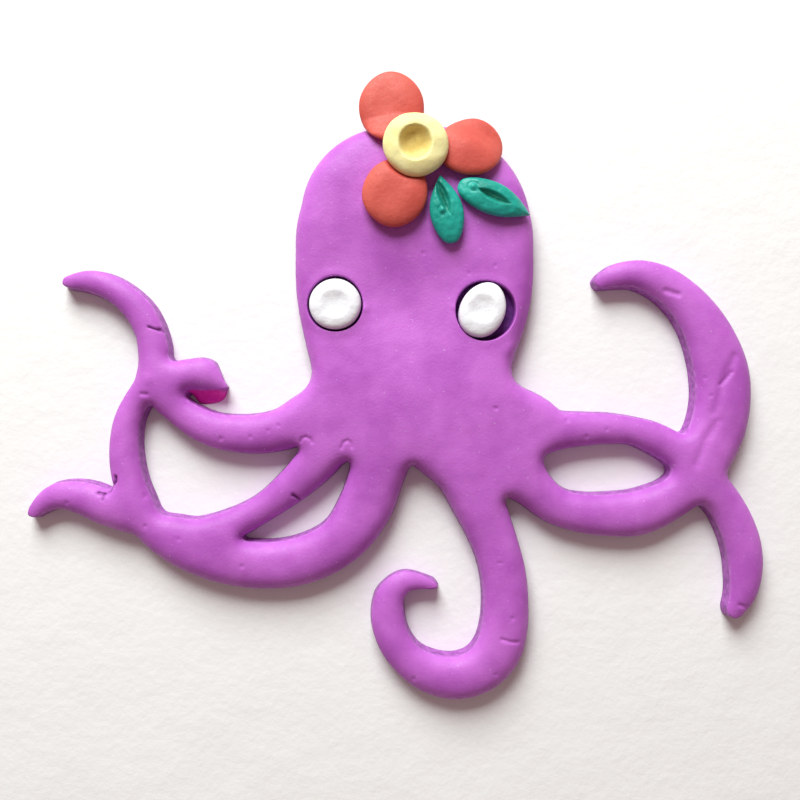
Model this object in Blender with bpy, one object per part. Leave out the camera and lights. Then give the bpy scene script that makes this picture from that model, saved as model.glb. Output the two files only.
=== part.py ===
"""Clay octopus plaque, lying on its back: a flat figure cut from one rolled sheet of clay, with two
eye discs in pressed sockets and a flower of balls and leaves on its head.

Frame: +Z points up out of the figure's face, +X to the right of the face, +Y to the top of its head.
The origin is under the middle of the whole figure's bounding box. Design values are in millimetres.
"""

import math

import bpy
import numpy as np
from mathutils import Vector, geometry
from mathutils.bvhtree import BVHTree

MM = 0.001

# The sheet.
WALL = 2.6  # height of the cut edge
CROWN = 1.5  # how far the face domes above the cut edge
DOME_REACH = 3.0  # how far in from the edge the dome keeps rising
DOME_POWER = 0.7  # below 1, the dome starts more steeply at the edge
FLARE = 0.25  # how far the back stands out past the edge of the face
CROTCH_BLEND = 1.1  # how far arms that meet are smeared into each other
NECK_BLEND = 4.0  # the same where arms leave the head
PATH_STEP = 0.3  # spacing of the discs that sweep along a head or arm
CONTOUR_CELL = 0.8  # grid on which the outline is found
EDGE_STEP = 1.05  # spacing of points along the outline
FACE_STEP = 1.45  # spacing of points inside the outline
FACE_INSET = 0.8  # how far inside the outline those points start
FEWEST_POINTS = 8  # least number of points on a loop
EDGE_ROUNDS = 3  # times the outline's points are moved onto the exact edge
EDGE_NUDGE = 0.3  # furthest that one such move goes
MERGE_DISTANCE = 1e-6  # points closer than this are one
SHARP_ANGLE = 40  # degrees between faces from which an edge is shaded sharp

# The head and each arm is a disc swept along a smooth path through stations (x, y, half width).
MANTLE = ((2.85, 21.6, 17.85), (2.8, 15.5, 17.7), (2.4, 9.3, 16.1))
SHOULDER = ((-0.8, 25.5, 13.4), (0.8, 25.2, 13.6), (4.8, 23.7, 15.5))
HOOK_ARM = (
    (-8.0, -3.0, 5.2), (-14.0, -5.1, 3.55), (-17.0, -6.4, 3.05), (-20.0, -7.05, 2.9),
    (-24.0, -7.1, 2.7), (-27.2, -6.6, 2.5), (-30.0, -5.4, 2.3), (-32.6, -3.6, 2.1),
    (-34.8, -1.2, 2.4), (-36.0, 1.2, 2.4),
)
HOOK = (
    (-36.6, 1.6, 2.0), (-33.3, 1.45, 2.3), (-31.0, 1.8, 2.25), (-28.9, 1.8, 2.25),
    (-27.6, 1.15, 1.6), (-26.5, 0.45, 0.9), (-25.75, 0.0, 0.45),
)
RISING_ARM = (
    (-36.9, -21.4, 1.8), (-38.5, -18.3, 2.3), (-39.9, -15.0, 2.35), (-40.6, -12.0, 2.3),
    (-40.8, -8.5, 2.15), (-40.3, -5.0, 1.95), (-38.8, -1.8, 1.8), (-36.8, 1.5, 1.8),
    (-36.4, 4.5, 2.25), (-36.95, 8.0, 2.15), (-38.3, 10.8, 2.1), (-40.5, 13.2, 1.95),
    (-43.1, 14.95, 1.8), (-46.0, 15.85, 1.55), (-48.3, 15.85, 1.05), (-49.35, 15.7, 0.75),
)
INNER_ARM = (
    (-5.0, -4.5, 4.5), (-10.3, -9.4, 3.2), (-12.0, -11.4, 3.0), (-15.85, -15.15, 2.45),
    (-20.8, -18.8, 2.0), (-24.3, -20.65, 2.2), (-28.5, -22.1, 2.35), (-33.0, -22.6, 2.2),
    (-35.0, -22.5, 2.1),
)
WING_ARM = (
    (0.0, -2.0, 6.0), (-1.8, -8.5, 4.9), (-2.8, -13.0, 4.1), (-4.5, -17.9, 4.0),
    (-8.15, -23.1, 3.6), (-14.3, -26.25, 3.55), (-20.0, -26.9, 3.45), (-25.0, -26.3, 3.45),
    (-29.3, -24.9, 3.5), (-33.5, -22.9, 3.25), (-35.6, -21.95, 2.6), (-37.4, -20.75, 2.15),
    (-41.0, -19.0, 2.7), (-44.0, -18.0, 2.65), (-46.5, -17.0, 2.5), (-49.0, -16.45, 2.15),
    (-51.3, -16.6, 1.8), (-53.2, -17.7, 1.3), (-54.5, -18.9, 0.8),
)
CURL_ARM = (
    (7.0, -7.0, 6.4), (10.2, -12.5, 4.4), (12.5, -17.5, 3.85), (13.9, -20.8, 3.5),
    (15.3, -24.5, 3.3), (16.3, -28.5, 3.3), (16.6, -32.5, 3.35), (16.35, -36.5, 3.45),
    (15.3, -39.9, 3.5), (12.85, -42.6, 3.35), (9.15, -43.8, 3.2), (5.1, -43.1, 2.9),
    (1.95, -41.15, 2.5), (-0.3, -38.1, 2.45), (-1.2, -34.5, 2.4), (-0.8, -31.5, 2.05),
    (1.2, -29.45, 1.65), (3.9, -29.45, 1.0), (5.8, -30.0, 0.5),
)
TAIL_ARM = (
    (14.0, -6.5, 7.8), (20.0, -6.1, 4.9), (24.0, -6.6, 3.0), (28.0, -6.45, 2.45),
    (32.0, -6.35, 2.2), (36.0, -6.75, 2.0), (39.0, -7.75, 2.25), (42.4, -9.7, 2.45),
    (45.3, -12.3, 2.95), (47.8, -15.5, 2.75), (49.7, -17.9, 2.6), (51.15, -20.6, 2.65),
    (52.3, -24.0, 2.65), (52.65, -28.0, 2.45), (52.2, -31.2, 1.95), (51.1, -33.6, 1.25),
)
CRESCENT_ARM = (
    (16.0, -10.0, 5.7), (20.3, -14.8, 3.15), (24.5, -18.15, 2.7), (28.5, -19.15, 2.9),
    (32.3, -19.35, 3.15), (36.2, -19.1, 3.3), (39.2, -18.1, 3.15), (41.7, -16.8, 2.95),
    (43.9, -15.0, 3.15), (46.6, -10.3, 4.0), (48.5, -6.0, 4.15), (49.2, -2.0, 4.15),
    (49.0, 2.0, 4.1), (47.9, 5.9, 3.75), (46.0, 9.8, 3.25), (43.2, 13.3, 2.8),
    (39.6, 15.9, 2.45), (36.0, 16.95, 2.0), (33.0, 16.6, 1.6), (30.9, 15.8, 0.95),
)
ARMS = (HOOK_ARM, HOOK, RISING_ARM, INNER_ARM, WING_ARM, CURL_ARM, TAIL_ARM, CRESCENT_ARM)

# Where the knife leaned: place, radius, the way the edge faces there, and how far the back stands
# out past the face (or in under it, where negative).
LEANS = (
    ((-28.7, -0.45), 3.4, (0.0, -1.0), 2.1),
    ((-25.4, 1.4), 3.0, (0.9, 0.4), -0.65),
    ((1.2, -28.0), 5.0, (0.0, 1.0), -0.35),
)
LEAN_FADE = 2.0  # how fast the lean grows as the edge turns to face that way
LEAN_DEPTH = 1.5  # an edge further than this past the place, the way it faces, doesn't lean

# Clearance between pieces that are pressed together.
GAP = 0.3

# Resting a piece on the domed face: heights are averaged around each point.
REST_REACH = 1.6
REST_SPOKES = 8
PROBE_HEIGHT = 20.0  # above everything, where the search for the face starts

# Lumps of clay: rings from pole to pole, and how full their sides are (1 is an ellipse).
RINGS = 12
SPOKES = 28
FULLNESS = 0.8

# A dimple made with a ball tool: flat in the middle, with soft sides.
DIMPLE_FLATNESS = 3
DIMPLE_SOFTNESS = 1.5

# Eye discs in pressed sockets: centre, half sizes, how far the outline is drawn out to a point.
SOCKET_FLOOR = 2.5
SOCKET_SIDES = 40
EYE_TOP = 5.6
EYE_DIMPLE_RADIUS = 2.5
EYE_DIMPLE_DEPTH = 0.9
LEFT_EYE = {"at": (-8.95, 12.2), "half": (3.85, 3.75), "turn": 0.0, "point": 0.0}
RIGHT_EYE = {"at": (12.95, 11.35), "half": (3.5, 4.15), "turn": -28.0, "point": 0.06}
LEFT_SOCKET = {"at": (-9.0, 12.25), "radius": 4.2}
RIGHT_SOCKET = {"at": (13.4, 11.4), "radius": 4.55}

# Flower: three flattened balls under a dimpled centre.
PETALS = {
    "upper_petal": {"at": (-0.6, 42.0), "half": (4.75, 4.8)},
    "right_petal": {"at": (11.3, 35.15), "half": (4.6, 4.4)},
    "lower_petal": {"at": (-0.15, 28.35), "half": (4.75, 4.85)},
}
PETAL_THICKNESS = 2.3
CENTRE_AT = (2.95, 35.0)
CENTRE_HALF = (4.8, 4.65)
CENTRE_LOW = 4.4  # underside in the middle of the flower
CENTRE_WIDEST = 7.3  # height of its widest section
CENTRE_TOP = 9.0
CENTRE_UNDERSIDE_POWER = 2.4
CENTRE_UNDERSIDE_REACH = 1.1  # share of its half size up to which it presses on the petals
CENTRE_SIDE = 1.5  # how fast its side turns under
CENTRE_RINGS = 16
CENTRE_DIMPLE_RADIUS = 2.6
CENTRE_DIMPLE_DEPTH = 1.7

# Leaves: drops with a pressed slot, given by base and tip of their midline. Their ends are pointed
# where the power is 1 and blunt where it is lower, at the base first and then at the tip.
LEAVES = {
    "short_leaf": {
        "base": (6.6, 30.9), "tip": (8.5, 20.95), "half_width": 2.45, "widest": 0.5, "ends": (0.45, 0.6),
    },
    "long_leaf": {
        "base": (9.2, 29.6), "tip": (19.95, 25.2), "half_width": 2.35, "widest": 0.45, "ends": (0.45, 1.0),
    },
}
LEAF_THICKNESS = 2.0
SLOT_DEPTH = 0.6
SLOT_HALF_WIDTH = 0.45
SLOT_START = 0.22  # shares of the leaf's length
SLOT_LENGTH = 0.5

CLAYS = {
    "purple_clay": ((0.52, 0.13, 0.58), 0.55),
    "white_clay": ((0.83, 0.82, 0.86), 0.5),
    "coral_clay": ((0.82, 0.16, 0.12), 0.6),
    "yellow_clay": ((0.88, 0.74, 0.27), 0.6),
    "green_clay": ((0.01, 0.34, 0.25), 0.5),
}


def clear_scene():
    for old in list(bpy.data.objects):
        bpy.data.objects.remove(old, do_unlink=True)


def clay(name):
    colour, roughness = CLAYS[name]
    material = bpy.data.materials.new(name)
    material.use_nodes = True
    shader = material.node_tree.nodes["Principled BSDF"]
    shader.inputs["Base Color"].default_value = (*colour, 1.0)
    shader.inputs["Roughness"].default_value = roughness
    shader.inputs["Metallic"].default_value = 0.0
    return material


def add_object(name, points, faces, material):
    """An object from points in millimetres, with its origin at the middle of its box."""
    points = np.asarray(points, dtype=float) * MM
    middle = (points.min(axis=0) + points.max(axis=0)) / 2
    mesh = bpy.data.meshes.new(name)
    mesh.from_pydata((points - middle).tolist(), [], [list(map(int, face)) for face in faces])
    mesh.shade_smooth()
    mesh.set_sharp_from_angle(angle=math.radians(SHARP_ANGLE))
    mesh.materials.append(material)
    made = bpy.data.objects.new(name, mesh)
    made.location = middle
    bpy.context.scene.collection.objects.link(made)
    return made


# ---------------------------------------------------------------- outline of the sheet


def sweep(stations):
    """Points (x, y, half width) along the smooth path through the stations."""
    knots = np.array(stations)
    gaps = np.linalg.norm(np.diff(knots[:, :2], axis=0), axis=1)
    at = np.concatenate([[0.0], np.cumsum(gaps)])
    slopes = np.gradient(knots, at, axis=0)
    samples = []
    for i, gap in enumerate(gaps):
        t = np.arange(0.0, 1.0, PATH_STEP / gap)[:, None]
        samples.append(
            (2 * t**3 - 3 * t**2 + 1) * knots[i]
            + (t**3 - 2 * t**2 + t) * gap * slopes[i]
            + (3 * t**2 - 2 * t**3) * knots[i + 1]
            + (t**3 - t**2) * gap * slopes[i + 1]
        )
    samples.append(knots[-1:])
    return np.concatenate(samples)


SWEPT = [sweep(stations).T for stations in (MANTLE, SHOULDER, *ARMS)]


def blended(one, other, reach):
    """The lower of two distances, lowered further where they are within reach of each other."""
    close = np.maximum(reach - np.abs(one - other), 0.0) / reach
    return np.minimum(one, other) - close**2 * reach / 4


def outside(points):
    """Distance of each point from the figure's edge, negative inside, with blended crotches."""
    points = np.asarray(points, dtype=float)
    mantle, shoulder, *arms = [
        (np.hypot(points[:, :1] - x, points[:, 1:2] - y) - half_width).min(axis=1)
        for x, y, half_width in SWEPT
    ]
    joined = arms[0]
    for arm in arms[1:]:
        joined = blended(joined, arm, CROTCH_BLEND)
    return blended(joined, np.minimum(mantle, shoulder), NECK_BLEND)


def outline_loops():
    """The closed loops where the distance is zero, walked on a grid of triangles."""
    swept = np.concatenate(SWEPT, axis=1)
    low = (swept[:2] - swept[2]).min(axis=1) - 2 * CONTOUR_CELL
    high = (swept[:2] + swept[2]).max(axis=1) + 2 * CONTOUR_CELL
    columns, rows = (int(n) for n in np.ceil((high - low) / CONTOUR_CELL) + 1)
    x, y = np.meshgrid(np.arange(columns), np.arange(rows), indexing="ij")
    grid = low + np.stack([x.ravel(), y.ravel()], axis=1) * CONTOUR_CELL
    value = outside(grid)
    corner = np.arange(columns * rows).reshape(columns, rows)
    a, b = corner[:-1, :-1].ravel(), corner[1:, :-1].ravel()
    c, d = corner[1:, 1:].ravel(), corner[:-1, 1:].ravel()
    triangles = np.concatenate([np.stack([a, b, c], 1), np.stack([a, c, d], 1)])
    inside = value[triangles] < 0
    crossed = triangles[inside.any(axis=1) & ~inside.all(axis=1)]
    links = {}
    for triangle in crossed:
        cut = [
            tuple(sorted((int(p), int(q))))
            for p, q in zip(triangle, np.roll(triangle, -1))
            if (value[p] < 0) != (value[q] < 0)
        ]
        links.setdefault(cut[0], []).append(cut[1])
        links.setdefault(cut[1], []).append(cut[0])
    loops = []
    while links:
        start = next(iter(links))
        walk, here, before = [start], start, None
        while True:
            ahead = [n for n in links[here] if n != before]
            before, here = here, ahead[0]
            if here == start:
                break
            walk.append(here)
        for key in walk:
            del links[key]
        ends = np.array(walk)
        share = value[ends[:, 0]] / (value[ends[:, 0]] - value[ends[:, 1]])
        loops.append(grid[ends[:, 0]] + share[:, None] * (grid[ends[:, 1]] - grid[ends[:, 0]]))
    return loops


def signed_area(loop):
    ahead = np.roll(loop, -1, axis=0)
    return float((loop[:, 0] * ahead[:, 1] - ahead[:, 0] * loop[:, 1]).sum() / 2)


def evenly_spaced(loop, step):
    closed = np.vstack([loop, loop[:1]])
    at = np.concatenate([[0.0], np.cumsum(np.linalg.norm(np.diff(closed, axis=0), axis=1))])
    count = max(FEWEST_POINTS, round(at[-1] / step))
    wanted = np.arange(count) * at[-1] / count
    return np.stack([np.interp(wanted, at, closed[:, k]) for k in range(2)], axis=1)


def outward(loop):
    """Unit normals that point away from the clay, for loops with the clay on their left."""
    along = np.roll(loop, -1, axis=0) - np.roll(loop, 1, axis=0)
    normal = np.stack([along[:, 1], -along[:, 0]], axis=1)
    return normal / np.linalg.norm(normal, axis=1, keepdims=True)


def on_the_edge(loop):
    """Moves a loop's points onto the exact edge along their normals."""
    for _ in range(EDGE_ROUNDS):
        move = np.clip(outside(loop), -EDGE_NUDGE, EDGE_NUDGE)
        loop = loop - outward(loop) * move[:, None]
    return loop


def figure_loops():
    """Evenly spaced loops of the face's edge, the outer one first, with the clay on their left."""
    loops = sorted(outline_loops(), key=lambda loop: -abs(signed_area(loop)))
    found = []
    for i, loop in enumerate(loops):
        if (signed_area(loop) > 0) != (i == 0):
            loop = loop[::-1]
        found.append(on_the_edge(evenly_spaced(on_the_edge(loop), EDGE_STEP)))
    return found


def base_loop(loop):
    """The same loop on the back of the sheet, where the cut stands out a little."""
    normal = outward(loop)
    out = np.full(len(loop), FLARE)
    for at, radius, facing, lean in LEANS:
        offset = loop - at
        near = np.clip(1 - (offset**2).sum(axis=1) / radius**2, 0, 1)
        turned = np.clip(normal @ facing * LEAN_FADE, 0, 1)
        out += lean * near * turned * (offset @ facing < LEAN_DEPTH)
    return loop + normal * out[:, None]


# ---------------------------------------------------------------- face and body of the sheet


def triangulate(loops, inner=()):
    """Triangles between the loops, using the inner points; the loops' points keep their order."""
    points, edges, faces = [], [], []
    for i, loop in enumerate(loops):
        first = len(points)
        numbers = list(range(first, first + len(loop)))
        points += [Vector(p) for p in loop]
        edges += list(zip(numbers, numbers[1:] + numbers[:1]))
        faces.append(numbers[::-1] if i else numbers)
    points += [Vector(p) for p in inner]
    result = geometry.delaunay_2d_cdt(points, edges, faces, 0, MERGE_DISTANCE, True)
    made, _, triangles, was_point, _, was_face = result
    order = [sources[0] for sources in was_point]
    kept = []
    for triangle, sources in zip(triangles, was_face):
        if list(sources) == [0]:
            p, q, r = (made[i] for i in triangle)
            turn = (q - p).cross(r - p)
            kept.append([order[i] for i in (triangle if turn > 0 else triangle[::-1])])
    return kept


def hex_points(low, high, step):
    """Points in staggered rows that fill a rectangle."""
    rows = []
    for i, y in enumerate(np.arange(low[1], high[1], step * math.sqrt(3) / 2)):
        x = np.arange(low[0] + (i % 2) * step / 2, high[0], step)
        rows.append(np.column_stack([x, np.full(len(x), y)]))
    return np.concatenate(rows)


def dome(points, triangles, edge_count):
    """0 at the edge, rising to 1 inside over DOME_REACH: solves (1 - reach^2 laplacian) v = 1."""
    count = len(points)
    stiffness = np.zeros((count, count))
    mass = np.zeros(count)
    for triangle in triangles:
        p = points[triangle]
        doubled = abs(np.cross(p[1] - p[0], p[2] - p[0]))
        mass[triangle] += doubled / 6
        for k in range(3):
            i, j, opposite = triangle[k], triangle[k - 2], p[k - 1]
            u, v = points[i] - opposite, points[j] - opposite
            weight = np.dot(u, v) / doubled / 2
            stiffness[i, i] += weight
            stiffness[j, j] += weight
            stiffness[i, j] -= weight
            stiffness[j, i] -= weight
    inner = np.arange(edge_count, count)
    system = stiffness * DOME_REACH**2 + np.diag(mass)
    value = np.zeros(count)
    value[inner] = np.linalg.solve(system[np.ix_(inner, inner)], mass[inner])
    return value


def body_sheet(material):
    """The figure itself: domed face, near-upright cut edge, flat back."""
    loops = figure_loops()
    edge = np.concatenate(loops)
    grid = hex_points(edge.min(axis=0), edge.max(axis=0), FACE_STEP)
    grid = grid[outside(grid) < -FACE_INSET]
    face_points = np.concatenate([edge, grid])
    face = np.array(triangulate(loops, grid))
    height = WALL + CROWN * np.clip(dome(face_points, face, len(edge)), 0, 1) ** DOME_POWER
    bases = [base_loop(loop) for loop in loops]
    back = triangulate(bases)
    points = np.concatenate([
        np.column_stack([face_points, height]),
        np.column_stack([np.concatenate(bases), np.zeros(len(edge))]),
    ])
    faces = face.tolist()
    offset = len(face_points)
    faces += [[offset + i for i in triangle[::-1]] for triangle in back]
    first = 0
    for loop in loops:
        for i in range(len(loop)):
            here, ahead = first + i, first + (i + 1) % len(loop)
            faces += [[here, offset + here, offset + ahead], [here, offset + ahead, ahead]]
        first += len(loop)
    return add_object("body_sheet", points, faces, material)


def press_socket(body, name, socket):
    """Cuts a round socket for an eye into the face."""
    bpy.ops.mesh.primitive_cylinder_add(
        vertices=SOCKET_SIDES,
        radius=socket["radius"] * MM,
        depth=2 * (EYE_TOP - SOCKET_FLOOR) * MM,
        location=(socket["at"][0] * MM, socket["at"][1] * MM, EYE_TOP * MM),
    )
    cutter = bpy.context.object
    cutter.name = name
    cutter.hide_render = True
    cutter.display_type = "WIRE"
    cut = body.modifiers.new(name, "BOOLEAN")
    cut.operation = "DIFFERENCE"
    cut.object = cutter


# ---------------------------------------------------------------- pieces on the sheet


def rest_height(tree, x, y):
    """Height of the face under a point, averaged over its surroundings; the edge's outside it."""
    spots = [(x, y)]
    for i in range(REST_SPOKES):
        angle = 2 * math.pi * i / REST_SPOKES
        spots.append((x + REST_REACH * math.cos(angle), y + REST_REACH * math.sin(angle)))
    heights = []
    for across, up in spots:
        spot = Vector((across, up, PROBE_HEIGHT))
        hit = tree.ray_cast(spot, Vector((0, 0, -1)))[0]
        heights.append(max(hit.z, WALL) if hit else WALL)
    return sum(heights) / len(heights)


def pebble(name, plan, height, material, rings=RINGS, spokes=SPOKES):
    """A closed lump: rings from its top pole over its widest outline to its bottom pole.

    plan(angle) is the point of the widest outline, and height(x, y, level) the height there, for
    a level that goes from 1 at the top through 0 at the widest outline to -1 underneath.
    """
    middle = np.mean([plan(2 * math.pi * i / spokes) for i in range(spokes)], axis=0)
    points = [(*middle, height(*middle, 1.0))]
    for ring in range(1, rings):
        turn = math.pi * ring / rings
        spread = math.sin(turn) ** FULLNESS
        level = math.copysign(abs(math.cos(turn)) ** FULLNESS, math.cos(turn))
        for i in range(spokes):
            x, y = middle + (np.array(plan(2 * math.pi * i / spokes)) - middle) * spread
            points.append((x, y, height(x, y, level)))
    points.append((*middle, height(*middle, -1.0)))
    faces = []
    for i in range(spokes):
        ahead = (i + 1) % spokes
        faces.append([0, 1 + i, 1 + ahead])
        for ring in range(rings - 2):
            here, below = 1 + ring * spokes, 1 + (ring + 1) * spokes
            faces.append([here + i, below + i, below + ahead, here + ahead])
        last = 1 + (rings - 2) * spokes
        faces.append([last + i, len(points) - 1, last + ahead])
    return add_object(name, points, faces, material)


def oval(at, half, turn=0.0, point=0.0):
    """An oval outline turned by some degrees and drawn out to a soft point at its top."""
    cosine, sine = math.cos(math.radians(turn)), math.sin(math.radians(turn))

    def plan(angle):
        narrowing = 1 - point * (1 + math.sin(angle))
        x, y = half[0] * math.cos(angle) * narrowing, half[1] * math.sin(angle) * (1 + point / 2)
        return at[0] + x * cosine - y * sine, at[1] + x * sine + y * cosine

    return plan


def bowl(distance, radius):
    """1 in the middle of a round dimple, 0 outside it, with soft sides."""
    return max(0.0, 1 - (distance / radius) ** DIMPLE_FLATNESS) ** DIMPLE_SOFTNESS


def eye(name, shape, material):
    low, high = SOCKET_FLOOR + GAP, EYE_TOP
    at = shape["at"]

    def height(x, y, level):
        z = (low + high) / 2 + level * (high - low) / 2
        if level > 0:
            z -= EYE_DIMPLE_DEPTH * bowl(math.hypot(x - at[0], y - at[1]), EYE_DIMPLE_RADIUS)
        return z

    return pebble(name, oval(at, shape["half"], shape["turn"], shape["point"]), height, material)


def centre_underside(x, y):
    """Height of the flower centre's underside, which presses the petals' inner ends down."""
    away = math.hypot((x - CENTRE_AT[0]) / CENTRE_HALF[0], (y - CENTRE_AT[1]) / CENTRE_HALF[1])
    if away > CENTRE_UNDERSIDE_REACH:
        return CENTRE_TOP
    return CENTRE_LOW + (CENTRE_WIDEST - CENTRE_LOW) * away**CENTRE_UNDERSIDE_POWER


def petal(name, shape, tree, material):
    def height(x, y, level):
        base = rest_height(tree, x, y) + GAP
        thickness = min(PETAL_THICKNESS, centre_underside(x, y) - GAP - base)
        return base + (level + 1) / 2 * thickness

    return pebble(name, oval(shape["at"], shape["half"]), height, material)


def flower_centre(material):
    def height(x, y, level):
        under = centre_underside(x, y)
        if level <= 0:
            return CENTRE_WIDEST + (under - CENTRE_WIDEST) * min(1.0, -level * CENTRE_SIDE)
        dip = CENTRE_DIMPLE_DEPTH * bowl(
            math.hypot(x - CENTRE_AT[0], y - CENTRE_AT[1]), CENTRE_DIMPLE_RADIUS
        )
        return CENTRE_WIDEST + level * (CENTRE_TOP - CENTRE_WIDEST) - dip

    plan = oval(CENTRE_AT, CENTRE_HALF)
    return pebble("flower_centre", plan, height, material, rings=CENTRE_RINGS)


def leaf(name, shape, tree, material):
    base, tip = np.array(shape["base"]), np.array(shape["tip"])
    length = float(np.linalg.norm(tip - base))
    along = (tip - base) / length
    across = np.array([-along[1], along[0]])

    def plan(angle):
        share = (1 - math.cos(angle)) / 2
        bend = math.log(0.5) / math.log(shape["widest"])
        power = shape["ends"][0] * (1 - share) + shape["ends"][1] * share
        width = shape["half_width"] * max(0.0, math.sin(math.pi * share**bend)) ** power
        return base + along * share * length - across * math.copysign(width, math.sin(angle))

    def height(x, y, level):
        place = np.array([x, y]) - base
        share, side = float(place @ along) / length, float(place @ across)
        z = rest_height(tree, x, y) + GAP + (level + 1) / 2 * LEAF_THICKNESS
        if level > 0 and 0 < share - SLOT_START < SLOT_LENGTH:
            ends = math.sin(math.pi * (share - SLOT_START) / SLOT_LENGTH)
            z -= SLOT_DEPTH * ends * max(0.0, 1 - (side / SLOT_HALF_WIDTH) ** 2)
        return z

    return pebble(name, plan, height, material)


def centre_on_origin(pieces):
    """Moves every piece so that the figure's box is centred over the origin."""
    bpy.context.view_layer.update()
    corners = np.array([piece.matrix_world @ Vector(c) for piece in pieces for c in piece.bound_box])
    middle = (corners.min(axis=0) + corners.max(axis=0)) / 2
    for piece in bpy.data.objects:
        piece.location.x -= middle[0]
        piece.location.y -= middle[1]


def main():
    clear_scene()
    clays = {name: clay(name) for name in CLAYS}
    body = body_sheet(clays["purple_clay"])
    shift = np.array(body.location)
    face = [tuple((np.array(v.co) + shift) / MM) for v in body.data.vertices]
    tree = BVHTree.FromPolygons(face, [list(p.vertices) for p in body.data.polygons])
    press_socket(body, "left_socket_cutter", LEFT_SOCKET)
    press_socket(body, "right_socket_cutter", RIGHT_SOCKET)
    pieces = [body]
    pieces.append(eye("left_eye", LEFT_EYE, clays["white_clay"]))
    pieces.append(eye("right_eye", RIGHT_EYE, clays["white_clay"]))
    for name, shape in PETALS.items():
        pieces.append(petal(name, shape, tree, clays["coral_clay"]))
    pieces.append(flower_centre(clays["yellow_clay"]))
    for name, shape in LEAVES.items():
        pieces.append(leaf(name, shape, tree, clays["green_clay"]))
    centre_on_origin(pieces)


main()
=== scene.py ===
"""Looks of the clay octopus plaque: the cut sheet, its eyes, flower and leaves, on textured paper.

Everything is worked out in millimetres in the CAD frame: +Z points up out of the figure's face and
+Y to the top of its head. The outline and the place of every piece are read from the CAD nodes.
"""

import math

import bpy
import numpy as np
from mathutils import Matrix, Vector, geometry, noise
from mathutils.bvhtree import BVHTree


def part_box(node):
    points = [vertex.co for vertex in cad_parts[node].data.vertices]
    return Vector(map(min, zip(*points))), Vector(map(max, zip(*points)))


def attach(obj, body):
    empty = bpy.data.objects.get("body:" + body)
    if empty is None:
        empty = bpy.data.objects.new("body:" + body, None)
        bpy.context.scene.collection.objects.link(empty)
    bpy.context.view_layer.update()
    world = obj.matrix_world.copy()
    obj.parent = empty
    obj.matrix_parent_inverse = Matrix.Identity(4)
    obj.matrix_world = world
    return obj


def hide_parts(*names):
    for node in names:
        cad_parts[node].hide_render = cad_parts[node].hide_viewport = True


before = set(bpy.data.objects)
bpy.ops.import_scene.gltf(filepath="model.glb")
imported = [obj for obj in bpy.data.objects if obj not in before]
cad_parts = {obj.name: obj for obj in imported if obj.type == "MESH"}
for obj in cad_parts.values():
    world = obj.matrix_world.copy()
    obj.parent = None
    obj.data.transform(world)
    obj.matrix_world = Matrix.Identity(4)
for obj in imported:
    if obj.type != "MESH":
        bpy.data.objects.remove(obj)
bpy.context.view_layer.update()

MM = 0.001
BOXES = {node: [np.array(corner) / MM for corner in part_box(node)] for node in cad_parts}

# The face of the sheet.
CROWN = 2.1  # how far it domes above the cut edge
DOME_REACH = 3.0  # how far in from the edge the dome keeps rising
DOME_SETTLING = 3  # above 1, wide parts level off sooner while narrow arms stay round
EDGE_PARTS = 3  # parts that each stretch of the CAD outline is cut into
FACE_STEP = 0.42  # spacing of points inside the outline, halved once more afterwards
FACE_INSET = 0.3  # how far inside the outline those points start
MARKS_FADE_IN = 2.5  # how soon marks reach their full depth as the dome rises
FINGER_WAVES = ((5.0, 0.12), (1.8, 0.02))  # uneven height that fingers leave: size, height
SOLVER_ROUNDS = 400
SOLVER_TOLERANCE = 1e-5

# Broad swells and dips of the head: x, y, radius across, radius up, height.
SWELLS = (
    (-1.0, 29.0, 14.0, 9.0, 0.7),
    (2.5, 13.0, 17.0, 6.5, -0.65),
    (2.5, -3.0, 13.0, 7.5, 0.6),
    (-12.5, 24.0, 6.0, 8.0, 0.15),
    (15.5, 3.5, 3.0, 5.0, 0.15),
)

# Pits left by dust and tools: x, y, radius, depth.
PITS = (
    (-35.3, 8.75, 0.3, 0.5), (-49.1, -17.2, 0.3, 0.15), (-46.5, -19.0, 0.3, 0.15),
    (-40.2, -21.6, 0.28, 0.14), (-37.2, -20.6, 0.3, 0.14), (-32.2, -22.5, 0.26, 0.12),
    (-22.8, -26.5, 0.3, 0.14), (-26.0, -7.6, 0.3, 0.16), (-21.6, -7.3, 0.28, 0.14),
    (-18.9, -6.4, 0.26, 0.12), (-17.4, -5.6, 0.26, 0.12), (-37.3, -16.1, 0.45, 0.25),
    (-37.0, -15.2, 0.4, 0.22), (2.7, -43.4, 0.3, 0.16), (17.4, -34.3, 0.3, 0.14),
    (14.9, -42.7, 0.26, 0.12), (46.1, 1.5, 0.28, 0.14), (46.9, -1.2, 0.26, 0.12),
    (31.5, -6.2, 0.26, 0.12), (28.5, -7.3, 0.28, 0.14), (25.5, -4.9, 0.28, 0.14),
    (14.9, -3.1, 0.28, 0.14), (14.6, -3.0, 0.24, 0.1), (10.9, 17.0, 0.26, 0.12),
    (14.8, 18.1, 0.24, 0.1), (4.1, 19.9, 0.26, 0.1),
)

# Soft raised spots: x, y, radius, height.
BUMPS = (
    (-36.8, 1.2, 0.9, 0.12), (-4.6, 11.7, 0.6, 0.12), (17.2, 5.7, 1.2, 0.2),
    (1.3, -27.1, 0.6, 0.15), (-14.9, -8.6, 0.5, 0.2), (8.9, 11.9, 0.4, 0.12),
    (-4.2, -24.2, 0.35, 0.15), (-6.0, -25.6, 0.35, 0.15),
)

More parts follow.
